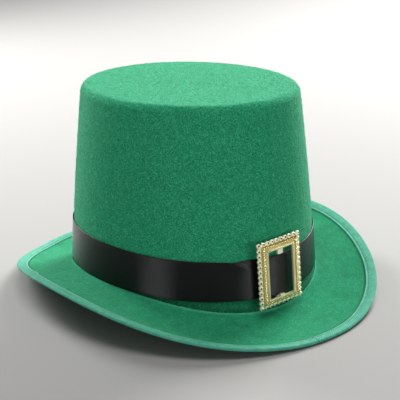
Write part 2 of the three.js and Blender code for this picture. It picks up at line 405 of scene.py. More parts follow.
def new_material(name, **shader_values):
    """A material with its Principled shader, whose constant values are set on the shader's own sockets."""
    material = bpy.data.materials.new(name)
    material.use_nodes = True
    shader = material.node_tree.nodes["Principled BSDF"]
    for key, value in shader_values.items():
        shader.inputs[key.replace("_", " ")].default_value = value
    return material, material.node_tree, shader


def bump_into(tree, shader, height, distance, strength=1.0):
    """Feeds a height through a Bump node into the shader's normal."""
    bump = tree.nodes.new("ShaderNodeBump")
    bump.inputs["Distance"].default_value = distance
    bump.inputs["Strength"].default_value = strength
    tree.links.new(height, bump.inputs["Height"])
    tree.links.new(bump.outputs["Normal"], shader.inputs["Normal"])


def felt_group():
    """Matted fibres: specks and strands in the felt's colour, and the height of its nap."""
    group = bpy.data.node_groups.new("matted_fibres", "ShaderNodeTree")
    face = group.interface
    for name, kind, value in (
        ("Felt", "NodeSocketColor", (0.01, 0.2, 0.08, 1)),
        ("Pale fibre", "NodeSocketColor", (0.1, 0.5, 0.28, 1)),
        ("Dark fibre", "NodeSocketColor", (0.004, 0.07, 0.03, 1)),
        ("Speckle", "NodeSocketFloat", 0.5),
        ("Grain per metre", "NodeSocketFloat", 900.0),
        ("Blotch", "NodeSocketFloat", 0.1),
    ):
        face.new_socket(name, in_out="INPUT", socket_type=kind).default_value = value
    face.new_socket("Color", in_out="OUTPUT", socket_type="NodeSocketColor")
    face.new_socket("Height", in_out="OUTPUT", socket_type="NodeSocketFloat")
    given = group.nodes.new("NodeGroupInput")
    result = group.nodes.new("NodeGroupOutput")
    place = group.nodes.new("ShaderNodeTexCoord").outputs["Object"]

    def noise(factor, detail, roughness, swirl=0.0):
        node = add_node(group, "ShaderNodeTexNoise", Detail=detail, Roughness=roughness, Distortion=swirl)
        scale = math_node(group, "MULTIPLY", given.outputs["Grain per metre"], factor)
        group.links.new(scale, node.inputs["Scale"])
        group.links.new(place, node.inputs["Vector"])
        return node.outputs["Fac"]

    def weighed(socket, weight):
        return math_node(group, "MULTIPLY", socket, weight)

    fine = noise(1.25, 2.0, 0.6)
    strands = noise(0.9, 1.0, 0.5, 1.6)
    clumps = noise(0.28, 2.0, 0.5)
    broad = noise(0.06, 3.0, 0.6, 1.5)
    nap = math_node(group, "ADD", weighed(fine, 0.45), weighed(strands, 0.45))
    nap = math_node(group, "ADD", nap, weighed(clumps, 0.1))
    pale = math_node(group, "MULTIPLY", ramp(group, nap, 0.5, 0.66), given.outputs["Speckle"])
    dark = math_node(group, "MULTIPLY", ramp(group, nap, 0.5, 0.36), given.outputs["Speckle"])
    colour = mixed(group, pale, given.outputs["Felt"], given.outputs["Pale fibre"])
    colour = mixed(group, dark, colour, given.outputs["Dark fibre"])
    shade = math_node(group, "MULTIPLY", ramp(group, broad, 0.4, 0.65), given.outputs["Blotch"])
    colour = mixed(group, shade, colour, given.outputs["Dark fibre"])
    group.links.new(colour, result.inputs["Color"])
    group.links.new(nap, result.inputs["Height"])
    return group


FIBRES = felt_group()


def felt_material(name, felt, pale, dark, speckle, grain, bump, sheen, blotch):
    """Felt with a soft sheen. One point attribute lightens the felt as a painted highlight along the brim's crease,
    and another darkens it with painted shade below the ribbon, at the crown's foot and just inside the tape's hem."""
    material, tree, shader = new_material(
        name, Roughness=0.95, Sheen_Weight=sheen, Sheen_Roughness=0.35, Sheen_Tint=(0.6, 1, 0.8, 1),
        Specular_IOR_Level=0.1,
    )
    fibres = add_node(tree, "ShaderNodeGroup", node_tree=FIBRES)
    for label, value in (("Felt", felt), ("Pale fibre", pale), ("Dark fibre", dark)):
        fibres.inputs[label].default_value = (*value, 1)
    fibres.inputs["Speckle"].default_value = speckle
    fibres.inputs["Grain per metre"].default_value = grain
    fibres.inputs["Blotch"].default_value = blotch
    raised = add_node(tree, "ShaderNodeAttribute", attribute_name="painted_crease_highlight").outputs["Fac"]
    painted_shade = add_node(tree, "ShaderNodeAttribute", attribute_name="painted_shade").outputs["Fac"]
    # Painted highlight: the felt along the brim's crease is lightened as if lit.
    colour = mixed(tree, raised, fibres.outputs["Color"], (*(1.1 * np.array(pale)), 1))
    # Painted shade: darkens the felt below the ribbon, at the crown's foot and just inside the tape's hem.
    colour = mixed(tree, painted_shade, colour, (*(0.55 * np.array(dark)), 1))
    tree.links.new(colour, shader.inputs["Base Color"])
    bump_into(tree, shader, fibres.outputs["Height"], bump)
    return material


def satin_material():
    """Black satin: fine weft lines along the ribbon and a sheen drawn out up and down."""
    material, tree, shader = new_material(
        "black_satin", Specular_IOR_Level=0.28, Anisotropic=0.5, Anisotropic_Rotation=0.25,
    )
    place = add_node(tree, "ShaderNodeUVMap", uv_map="surface").outputs["UV"]
    weave = add_node(tree, "ShaderNodeTexWave", Scale=900.0, Distortion=1.5, bands_direction="Y")
    tree.links.new(place, weave.inputs["Vector"])
    cloud = add_node(tree, "ShaderNodeTexNoise", Scale=160.0, Detail=3.0)
    tree.links.new(place, cloud.inputs["Vector"])
    tree.links.new(
        mixed(tree, cloud.outputs["Fac"], (0.003, 0.003, 0.003, 1), (0.006, 0.0055, 0.0065, 1)),
        shader.inputs["Base Color"],
    )
    rough = math_node(tree, "ADD", math_node(tree, "MULTIPLY", cloud.outputs["Fac"], 0.1), 0.19)
    tree.links.new(rough, shader.inputs["Roughness"])
    height = math_node(tree, "ADD", weave.outputs["Fac"], math_node(tree, "MULTIPLY", cloud.outputs["Fac"], 2.0))
    bump_into(tree, shader, height, 0.03 * MM)
    return material


def tape_material():
    """Light twill tape: slanting weave lines, uneven dye, a painted highlight along its hem and painted shade in the
    seam.
    """
    material, tree, shader = new_material(
        "edge_tape", Roughness=0.8, Sheen_Weight=0.15, Sheen_Roughness=0.35, Sheen_Tint=(0.8, 1, 0.95, 1),
        Specular_IOR_Level=0.2,
    )
    place = add_node(tree, "ShaderNodeUVMap", uv_map="surface").outputs["UV"]
    twill = add_node(tree, "ShaderNodeTexWave", Scale=300.0, Distortion=1.0, bands_direction="DIAGONAL")
    tree.links.new(place, twill.inputs["Vector"])
    stain = add_node(tree, "ShaderNodeTexNoise", Scale=170.0, Detail=4.0, Roughness=0.65)
    tree.links.new(place, stain.inputs["Vector"])
    colour = mixed(tree, ramp(tree, stain.outputs["Fac"], 0.3, 0.7), (0.042, 0.29, 0.185, 1), (0.095, 0.41, 0.285, 1))
    threads = math_node(tree, "MULTIPLY", twill.outputs["Fac"], 0.2)
    colour = mixed(tree, threads, colour, (0.03, 0.26, 0.16, 1))
    painted_hem_highlight = add_node(tree, "ShaderNodeAttribute", attribute_name="painted_hem_highlight").outputs["Fac"]
    painted_seam_shade = add_node(tree, "ShaderNodeAttribute", attribute_name="painted_seam_shade").outputs["Fac"]
    # Painted highlight along the hem's ridge.
    colour = mixed(tree, painted_hem_highlight, colour, (0.3, 0.72, 0.54, 1))
    # Painted shade in the seam's groove.
    colour = mixed(tree, painted_seam_shade, colour, (0.02, 0.2, 0.12, 1))
    tree.links.new(colour, shader.inputs["Base Color"])
    height = math_node(tree, "ADD", twill.outputs["Fac"], math_node(tree, "MULTIPLY", stain.outputs["Fac"], 2.5))
    bump_into(tree, shader, height, 0.2 * MM)
    return material


def gold_material():
    """Bright plating on moulded plastic: pale on the beads and inner border, yellower on the rope and face,
    and darkened with painted shade in its grooves, rib valleys and the beads' dimples."""
    material, tree, shader = new_material("gold_plate")
    place = add_node(tree, "ShaderNodeTexCoord").outputs["Object"]
    smear = add_node(tree, "ShaderNodeTexNoise", Scale=700.0, Detail=3.0)
    tree.links.new(place, smear.inputs["Vector"])
    yellow = add_node(tree, "ShaderNodeAttribute", attribute_name="yellow").outputs["Fac"]
    painted_recess_shade = add_node(tree, "ShaderNodeAttribute", attribute_name="painted_recess_shade").outputs["Fac"]
    colour = mixed(tree, yellow, (1.0, 0.96, 0.74, 1), (1.0, 0.89, 0.4, 1))
    faded = math_node(tree, "MULTIPLY", smear.outputs["Fac"], 0.12)
    colour = mixed(tree, faded, colour, (0.75, 0.55, 0.2, 1))
    # Painted shade: grooves, rib valleys and bead dimples are darkened.
    tree.links.new(mixed(tree, painted_recess_shade, colour, (0.045, 0.032, 0.008, 1)), shader.inputs["Base Color"])
    metal = math_node(tree, "ADD", math_node(tree, "MULTIPLY", yellow, 0.35), 0.45)
    tree.links.new(metal, shader.inputs["Metallic"])
    rough = math_node(tree, "ADD", math_node(tree, "MULTIPLY", smear.outputs["Fac"], 0.16), 0.16)
    tree.links.new(rough, shader.inputs["Roughness"])
    bump_into(tree, shader, smear.outputs["Fac"], 0.05 * MM)
    return material


# Pieces

def crown_rows(turn):
    """The crown's outside and inside at each turn, as rings from the flat top's rim down the wall, round the
    foot under the brim and up the inside. Each entry is a distance out from the wall and a height, worked as
    quarter circles at the shoulders, straight walls, and an arc at the foot's heel."""
    shoulder = CROWN_HEIGHT - SHOULDER_RADIUS
    under = BRIM_FELT / 2 + JOIN_GAP
    crease = crease_level(turn)
    slope = felt_arc(turn, 0.0)[2]
    corner = crease - under / np.cos(slope)
    rings = []

    def level(z):
        return np.clip(z, crease, shoulder)

    def cap(radius, angle):
        out = radius * math.cos(angle) - SHOULDER_RADIUS
        return beside(turn, shoulder, out, shoulder + radius * math.sin(angle) + 0 * turn)

    def wall(out, share):
        z = corner + (shoulder - corner) * share
        wave = soft_waves(turn, z, 0.22 * MM, 4) * math.sin(math.pi * share)
        return beside(turn, level(z), out + wave, z)

    for angle in np.linspace(math.pi / 2, 0, SHOULDER_RINGS + 1)[:-1]:
        rings.append(cap(SHOULDER_RADIUS, angle))
    for share in np.linspace(1, 0, WALL_RINGS):
        rings.append(wall(0.0, share))
    rings.append(on_brim(turn, FLANGE_WIDTH, -under))
    rings.append(on_brim(turn, FLANGE_WIDTH, -under - FLANGE_FELT))
    for share in np.linspace(0, 1, 7)[:-1]:
        angle = (slope - math.pi / 2) * (1 - share) - math.pi * share
        felt = FLANGE_FELT + (CROWN_FELT - FLANGE_FELT) * share
        rings.append(beside(turn, level(corner), felt * np.cos(angle), corner + felt * np.sin(angle)))
    for share in np.linspace(0, 1, 12):
        rings.append(wall(-CROWN_FELT, share))
    for angle in np.linspace(0, math.pi / 2, 10)[1:]:
        rings.append(cap(SHOULDER_RADIUS - CROWN_FELT, angle))
    return rings


def disc_rows(rim, centre, count, sag):
    """Rings from near a flat disc's centre out to its rim, sagging by a raised cosine."""
    shares = np.arange(1, count) / count
    rows = centre + (rim[None] - centre) * shares[:, None, None]
    rows[..., 2] -= sag * (1 + np.cos(math.pi * shares))[:, None] / 2
    return rows


def nap_relief(shape, size, draw):
    """Fine unevenness of matted fibres over a grid that closes on itself: random heights, each averaged with
    its neighbours."""
    relief = draw.normal(0, size, shape)
    for axis in (0, 1):
        relief = (np.roll(relief, 1, axis) + 2 * relief + np.roll(relief, -1, axis)) / 4
    return relief


def raised_by(rows, relief):
    """A grid's points moved along its own normals, worked from its neighbours on both sides."""
    along = np.roll(rows, -1, axis=1) - np.roll(rows, 1, axis=1)
    down = np.gradient(rows, axis=0)
    normal = np.cross(down, along)
    normal /= np.linalg.norm(normal, axis=2)[..., None] + 1e-12
    return rows + normal * relief[..., None]


def crown_shell():
    """Points, triangles and painted shade of the crown's felt."""
    turn = ring_turns(CROWN_STEPS)
    rings = crown_rows(turn)
    top = CROWN_HEIGHT + HAT_MIDDLE[2]
    sag = 0.5 * MM
    top_middle = np.array([HAT_MIDDLE[0], HAT_MIDDLE[1], top])
    ceiling_middle = top_middle - [0, 0, CROWN_FELT]
    outer_disc = disc_rows(rings[0], top_middle, 46, sag)
    inner_disc = disc_rows(rings[-1], ceiling_middle, 8, sag)[::-1]
    rows = np.concatenate([outer_disc, np.array(rings), inner_disc])
    shares = np.arange(1, 46) / 46
    fade = np.ones(len(rows))
    fade[:45] = np.clip(shares * 4, 0, 1)
    fade[45 + OUTER_RINGS - 4:] = 0
    relief = nap_relief(rows.shape[:2], NAP_RELIEF, np.random.default_rng(31)) * fade[:, None]
    rows = raised_by(rows, relief - NAP_RELIEF * (fade > 0)[:, None])
    points, faces = capped_grid(rows, top_middle - [0, 0, sag], ceiling_middle - [0, 0, sag])
    turns, level = turn_and_level(points)
    above_crease = level - crease_level(turns)
    below_band = band_low(turns) - level
    # Painted shade at the crown's foot: darker towards the crease and just below the ribbon's lower edge.
    painted_shade = np.clip(1 - above_crease / (6 * MM), 0, 1) * 0.5 + 0.45 * np.exp(-np.abs(below_band) / (1.2 * MM))
    painted_shade = np.where(below_band > -1 * MM, np.clip(painted_shade + 0.5, 0, 0.9), 0)
    return points, faces, painted_shade


def turn_and_level(points):
    """The turn round the crown and the height over the mean crease of points."""
    beside_middle = points - HAT_MIDDLE
    turn = np.arctan2(beside_middle[:, 0] / BASE_HALF_WIDTH, -beside_middle[:, 1] / BASE_HALF_LENGTH)
    return turn, beside_middle[:, 2]


def brim_shell():
    """Points, triangles, loose nap and painted shade of the felt ring: rows from the raised inner edge out
    along the top, round the cut outer edge and back along the underside. The loose nap doubles as a painted
    highlight along the crease, and the painted shade is a shadow line just inside the tape's hem."""
    turn = ring_turns()
    half = BRIM_FELT / 2
    start = 0.12 * MM
    end = brim_width(turn) - 0.3 * MM
    hem = brim_width(turn) - tape_width(turn) - 0.45 * MM
    rings = []
    nap = []
    painted_shade = []

    def row(share, side):
        along = start + (end - start) * share ** 1.15
        wave = soft_waves(turn, along, 0.4 * MM, 9) * math.sin(math.pi * share)
        raised = CREASE_LIP * np.exp(-(along / CREASE_REACH) ** 2) if side > 0 else 0
        rings.append(on_brim(turn, along, side * half + raised + wave))
        # Loose nap along the crease, which also serves as the painted highlight there.
        nap.append(0.6 * np.exp(-(along / (1.3 * CREASE_REACH)) ** 2) if side > 0 else 0 * turn)
        # Painted shadow of the tape's hem on the felt just inside it.
        painted_shade.append(0.9 * np.exp(-((along - hem) / (0.75 * MM)) ** 2) if side > 0 else 0 * turn)

    for share in np.linspace(0, 1, BRIM_ROWS):
        row(share, 1)
    for share in np.linspace(1, 0, 24):
        row(share, -1)
    rows = np.array(rings)
    relief = nap_relief(rows.shape[:2], NAP_RELIEF / 2, np.random.default_rng(33))
    relief[BRIM_ROWS - 12:] = 0
    points = raised_by(rows, relief).reshape(-1, 3)
    return points, grid_faces(len(rows), RING_STEPS), np.array(nap).ravel(), np.array(painted_shade).ravel()


def make_fibres(name, points, faces, weights, count, length, lift, radius, material, seed):
    """Loose fibres of the nap: thin closed spindles from the felt, each bent through a raised middle to a tip
    that lies down or stands off. Roots are spread over the triangles by area times a weight per point."""
    draw = np.random.default_rng(seed)
    a, b, c = (points[faces[:, i]] for i in range(3))
    normals = np.cross(b - a, c - a) * (1 if enclosed(points, faces) > 0 else -1)
    areas = np.linalg.norm(normals, axis=1)
    chance = areas * weights[faces].mean(axis=1)
    chosen = draw.choice(len(faces), count, p=chance / chance.sum())
    u, v = draw.random((2, count, 1))
    fold = u + v > 1
    u, v = np.where(fold, 1 - u, u), np.where(fold, 1 - v, v)
    root = a[chosen] + u * (b - a)[chosen] + v * (c - a)[chosen]
    out = normals[chosen] / areas[chosen, None]
    way = np.cross(out, draw.normal(size=(count, 3)))
    way /= np.linalg.norm(way, axis=1)[:, None]
    beyond = np.cross(way, out)
    reach = length * draw.uniform(0.4, 1.0, (count, 1))
    rise = lift * draw.random((2, count, 1)) ** 2
    middle = root + way * reach / 2 + out * (radius + rise[0]) + beyond * reach * draw.normal(0, 0.18, (count, 1))
    tip = root + way * reach + out * (rise[1] - radius)
    thick = radius * draw.uniform(0.7, 1.3, (count, 1))
    ring = [middle + thick * (math.cos(k) * out + math.sin(k) * beyond) for k in np.arange(3) * FULL_TURN / 3]
    spindles = np.stack([root - out * 0.2 * MM, *ring, tip], axis=1)
    pattern = np.array([[0, 2, 1], [0, 3, 2], [0, 1, 3], [4, 1, 2], [4, 2, 3], [4, 3, 1]])
    all_faces = pattern[None] + 5 * np.arange(count)[:, None, None]
    return add_mesh(name, spindles.reshape(-1, 3), all_faces.reshape(-1, 3), material)


def tape_width(turn):
    """The tape's width on each side: even, with slight hand-sewn waves and a kink at the left tip."""
    kink = 1.3 * MM * np.exp(-((turn - TAPE_KINK) / 0.035) ** 2)
    narrow = TAPE_NARROWING * np.clip(np.cos(turn + TAPE_NARROW_TURN), 0, 1)
    return TAPE_WIDTH - narrow + soft_waves(turn, 0.0, 0.35 * MM, 14) + kink


def tape_rows(turn):
    """The tape's section at each turn: along the top from its hem, round the fold, back along the underside,
    and the same again inside. Its top has a raised hem, a groove at the seam and a soft puff beyond it.
    Returns the rows, the distance across, and each row's painted highlight on the hem and painted shade in the seam."""
    width = brim_width(turn)
    own_width = tape_width(turn)
    inside = TAPE_RADIUS - TAPE_THICKNESS
    rows, across, painted_hem_highlight, painted_seam_shade = [], [], [], []

    def height(from_hem):
        hem = np.sqrt(1 - (1 - np.clip(from_hem / (0.45 * MM), 0, 1)) ** 2)
        ridge = 0.2 * MM * np.exp(-((from_hem - 0.6 * MM) / (0.45 * MM)) ** 2)
        seam = 0.24 * MM * np.exp(-((from_hem - SEAM_INSET) / (0.5 * MM)) ** 2)
        puff = 0.2 * MM * np.sin(math.pi * np.clip((from_hem - SEAM_INSET) / (own_width - SEAM_INSET), 0, 1))
        return inside + (TAPE_RADIUS - inside) * hem + ridge - seam + puff

    def add(points, distance, from_hem):
        rows.append(points)
        across.append(distance + 0 * turn)
        # Painted highlight on the hem's ridge.
        painted_hem_highlight.append(0.3 * np.exp(-((from_hem - 0.5 * MM) / (0.6 * MM)) ** 2) + 0 * turn)
        # Painted shade in the seam's groove.
        painted_seam_shade.append(0.25 * np.exp(-((from_hem - SEAM_INSET) / (0.45 * MM)) ** 2) + 0 * turn)

    shares = 1 - np.cos(np.linspace(0, math.pi / 2, 26))
    far = 1.0
    for share in shares:
        from_hem = own_width * share
        add(on_brim(turn, width - own_width + from_hem, height(from_hem)), from_hem, from_hem)
    for angle in np.linspace(0, math.pi, 15)[1:-1]:
        add(on_brim(turn, width, TAPE_RADIUS * math.cos(angle), TAPE_RADIUS * math.sin(angle)),
            own_width + TAPE_RADIUS * angle, far)
    for share in shares[::-1]:
        from_hem = own_width * share
        add(on_brim(turn, width - own_width + from_hem, -height(from_hem)),
            2 * own_width + TAPE_RADIUS * math.pi - from_hem, from_hem)
    for share in np.linspace(0, 1, 5):
        add(on_brim(turn, width - own_width * (1 - share), -inside), own_width * share, far)
    for angle in np.linspace(math.pi, 0, 7)[1:-1]:
        add(on_brim(turn, width, inside * math.cos(angle), inside * math.sin(angle)), own_width, far)
    for share in np.linspace(1, 0, 5):
        add(on_brim(turn, width - own_width * (1 - share), inside), own_width * share, far)
    return [np.array(values) for values in (rows, across, painted_hem_highlight, painted_seam_shade)]


def arc_length(line):
    """Distance along a closed line of points, at each point, and its whole length."""
    steps = np.linalg.norm(np.roll(line, -1, axis=0) - line, axis=1)
    return np.concatenate([[0], np.cumsum(steps)[:-1]]), steps.sum()


def make_tape(material):
    turn = ring_turns(640)
    rows, across, painted_hem_highlight, painted_seam_shade = tape_rows(turn)
    along, _ = arc_length(on_brim(turn, brim_width(turn), 0.0))
    uv = np.stack(np.broadcast_arrays(along[None, :], across), axis=-1)
    return add_mesh(
        "edge_tape", rows.reshape(-1, 3), grid_faces(len(rows), len(turn)), material, uv=uv.reshape(-1, 2),
        attributes={"painted_hem_highlight": painted_hem_highlight.ravel(), "painted_seam_shade": painted_seam_shade.ravel()},
    )


def band_low(turn):
    return CREASE_RISE + BRIM_FELT / 2 + BAND_CLEARANCE - BAND_DIP * round_trip(BAND_DROP, turn)


BUCKLE_RISE = float(band_low(np.array([BUCKLE_TURN]))[0]) + BAND_WIDTH / 2 + BUCKLE_ABOVE_BAND
LIFT_REACH = BUCKLE_WIDTH / 2 - FACE_WIDTH / 2


def band_lift(turn):
    """How far the ribbon stands off the wall to pass over the buckle's bar, easing down on both sides."""
    from_bar = np.abs(wall_oval(BUCKLE_RISE)[1] * np.sin(turn - BUCKLE_TURN))
    start = BAR_WIDTH / 2 + JOIN_GAP
    share = np.clip((from_bar - start) / (LIFT_REACH - start), 0, 1)
    slack = share * share * (3 - 2 * share)
    return np.where(np.cos(turn - BUCKLE_TURN) < 0, 0, (BAR_THICKNESS + 2 * JOIN_GAP) * (1 - slack))


def band_pleat(turn, share):
    """The shallow slanting pleat at the left of the buckle: how far the ribbon stands out and how far its
    edge is drawn up, at a turn and a share of its width. It is a smooth step across a slanting line."""
    from_pleat = np.remainder(turn - PLEAT_TURN + math.pi, FULL_TURN) - math.pi
    below = (PLEAT_TOP - share) * BAND_WIDTH - PLEAT_SLANT * from_pleat
    near = np.exp(-(from_pleat / PLEAT_REACH) ** 2) * np.clip((share - 0.45) / 0.4, 0, 1)
    step = 1 / (1 + np.exp(-below / (0.35 * MM)))
    ease = np.exp(-np.maximum(below, 0) / (5 * MM))
    right = 1 / (1 + np.exp(-from_pleat / PLEAT_EASE))
    top = np.clip((share - 0.6) / 0.4, 0, 1) ** 2
    return PLEAT_HEIGHT * near * step * ease, near * top * (PLEAT_DIP + PLEAT_RISE * right)


def make_band(material):
    """The ribbon: a thin rounded section carried round the crown, with long soft undulations."""
    turn = ring_turns(720)
    low = band_low(turn)
    inside = BAND_GAP + band_lift(turn)
    rows = []
    across = []

    def face(out, share):
        pleat, raised = band_pleat(turn, share)
        z = low + BAND_WIDTH * share + raised
        wave = soft_waves(turn, z, 0.22 * MM, 21) * math.sin(math.pi * share)
        return beside(turn, z, inside + out + wave + pleat, z)

    def edge(share, side):
        pleat, raised = band_pleat(turn, share)
        z = low + BAND_WIDTH * share + raised
        for angle in np.linspace(0, math.pi, 7)[1:-1]:
            out = BAND_THICKNESS / 2 * (1 + math.cos(angle if side > 0 else math.pi - angle))
            up = side * BAND_THICKNESS / 2 * math.sin(angle)
            rows.append(beside(turn, z + up, inside + out + pleat, z + up))
            across.append(BAND_WIDTH * share)

    inset = BAND_THICKNESS / 2 / BAND_WIDTH
    for share in np.linspace(inset, 1 - inset, 26):
        rows.append(face(BAND_THICKNESS, share))
        across.append(BAND_WIDTH * share)
    edge(1 - inset, 1)
    for share in np.linspace(1 - inset, inset, 10):
        rows.append(face(0.0, share))
        across.append(BAND_WIDTH * share)
    edge(inset, -1)
    along, _ = arc_length(rows[0])
    uv = np.stack(np.broadcast_arrays(along[None, :], np.array(across)[:, None]), axis=-1)
    faces = grid_faces(len(rows), len(turn))
    return add_mesh("satin_ribbon", np.array(rows).reshape(-1, 3), faces, material, uv=uv.reshape(-1, 2))


def buckle_axes():
    """The buckle's own axes: right, up along the wall's lean, and out, turned and rolled by the given angles."""
    turn = np.array(BUCKLE_TURN)

    def spot(rise, out):
        return beside(turn, rise, out, rise)

    foot = spot(BUCKLE_RISE - BUCKLE_HEIGHT / 2, 0.0)
    head = spot(BUCKLE_RISE + BUCKLE_HEIGHT / 2, 0.0)
    up = (head - foot) / np.linalg.norm(head - foot)
    out = spot(BUCKLE_RISE, 1.0) - spot(BUCKLE_RISE, 0.0)
    c, s = math.cos(BUCKLE_TWIST), math.sin(BUCKLE_TWIST)
    out = np.array([c * out[0] - s * out[1], s * out[0] + c * out[1], 0])
    right = np.cross(up, out)
    right /= np.linalg.norm(right)
    out = np.cross(right, up)
    c, s = math.cos(BUCKLE_ROLL), math.sin(BUCKLE_ROLL)
    return np.array([c * right + s * up, c * up - s * right, out]), spot(BUCKLE_RISE, 0.0)


def place_buckle(points):
    """Carries points from the buckle's own frame to the row's frame."""
    axes, origin = buckle_axes()
    return points @ axes + origin


def ball(radius, sides, rings):
    """A closed ball: rings round the z axis at even tilts between its two poles."""
    tilt = np.linspace(0, math.pi, rings + 1)[1:-1, None]
    spin = (np.arange(sides) * FULL_TURN / sides)[None, :]
    x, y, z = np.broadcast_arrays(np.sin(tilt) * np.cos(spin), np.sin(tilt) * np.sin(spin), np.cos(tilt))
    points, faces = capped_grid(np.stack([x, y, z], axis=-1), (0, 0, 1), (0, 0, -1))
    return radius * points, faces


def repeated(points, faces, places, axes=None):
    """One shell's points and faces copied to many places, each turned to its own three axes if given."""
    turned = points[None] if axes is None else np.einsum("pk,nkc->npc", points, axes)
    all_points = turned + places[:, None]
    all_faces = faces[None] + (np.arange(len(places)) * len(points))[:, None, None]
    return all_points.reshape(-1, 3), all_faces.reshape(-1, 3)


def bead_places():
    """Centres of the border beads, evenly spaced round the buckle's rectangle."""
    xs = np.linspace(-BUCKLE_WIDTH / 2, BUCKLE_WIDTH / 2, BEADS_ACROSS)
    ys = np.linspace(-BUCKLE_HEIGHT / 2, BUCKLE_HEIGHT / 2, BEADS_UP)[1:-1]
    rows = [np.stack([xs, np.full_like(xs, y)], axis=1) for y in (-BUCKLE_HEIGHT / 2, BUCKLE_HEIGHT / 2)]
    columns = [np.stack([np.full_like(ys, x), ys], axis=1) for x in (-BUCKLE_WIDTH / 2, BUCKLE_WIDTH / 2)]
    flat = np.concatenate(rows + columns)
    return np.column_stack([flat, np.full(len(flat), BEAD_STANDOFF)])


def bead_axes(places):
    """Three axes for each bead: its dimple leans out from the buckle's middle."""
    half = np.array([BUCKLE_WIDTH / 2, BUCKLE_HEIGHT / 2])
    outward = (np.abs(places[:, :2]) > half - 0.1 * MM) * np.sign(places[:, :2])
    third = np.column_stack([BEAD_LEAN * outward, np.ones(len(places))])
    third /= np.linalg.norm(third, axis=1)[:, None]
    first = np.cross([0, 1, 0], third)
    first /= np.linalg.norm(first, axis=1)[:, None]
    return np.stack([first, np.cross(third, first), third], axis=1)


def dimpled_bead():
    """A ball whose front pole is pushed in by a bell curve of the tilt, with painted shade in the dimple."""
    points, faces = ball(1.0, 20, 18)
    tilt = np.arccos(np.clip(points[:, 2], -1, 1))
    dent = np.exp(-(tilt / 0.6) ** 2)
    # The dimple's darkness is painted shade.
    return points * (BEAD_RADIUS * (1 - 0.3 * dent))[:, None], faces, np.clip(2.4 * dent - 0.7, 0, 1)


def rope_strands():
    """The rope inside the beads: slanting ellipsoids, one for each even step round the rectangle."""
    flat, ways = rectangle_line(ROPE_INSET, ROPE_PITCH)
    points, faces = ball(1.0, 12, 8)
    points = points * np.array([0.54, 1.8, 0.9]) * MM
    c, s = math.cos(ROPE_SLANT), math.sin(ROPE_SLANT)
    aside = np.stack([-ways[:, 1], ways[:, 0]], axis=1)
    level = np.zeros((len(flat), 1))
    first = np.concatenate([c * ways + s * aside, level], axis=1)
    second = np.concatenate([c * aside - s * ways, level], axis=1)
    third = np.cross(first, second)
    at_foot = ways[:, 0] > 0.5
    second[at_foot] *= 0.75
    flat[at_foot, 1] -= 0.9 * MM
    places = np.column_stack([flat, np.full(len(flat), face_height(ROPE_INSET) + 0.3 * MM)])
    return repeated(points, faces, places, np.stack([first, second, third], axis=1))


def rectangle_line(inward, pitch):
    """Evenly spaced points round the rectangle that lies inward of the bead centres, and the way along it."""
    half = np.array([BUCKLE_WIDTH / 2 - inward, BUCKLE_HEIGHT / 2 - inward])
    corners = half * np.array([[-1, -1], [1, -1], [1, 1], [-1, 1]])
    sides = []
    ways = []
    for start, end in zip(corners, np.roll(corners, -1, axis=0)):
        length = np.linalg.norm(end - start)
        count = max(2, round(length / pitch))
        shares = (np.arange(count)[:, None] + 0.5) / count
        sides.append(start + (end - start) * shares)
        ways.append(np.tile((end - start) / length, (count, 1)))
    return np.concatenate(sides), np.concatenate(ways)


def face_height(inward):
    """Front of the sloping face at a distance inward of the bead centres."""
    share = np.clip(inward / FACE_WIDTH, 0, 1)
    return BEAD_STANDOFF + 0.45 * MM + FACE_LIFT * share


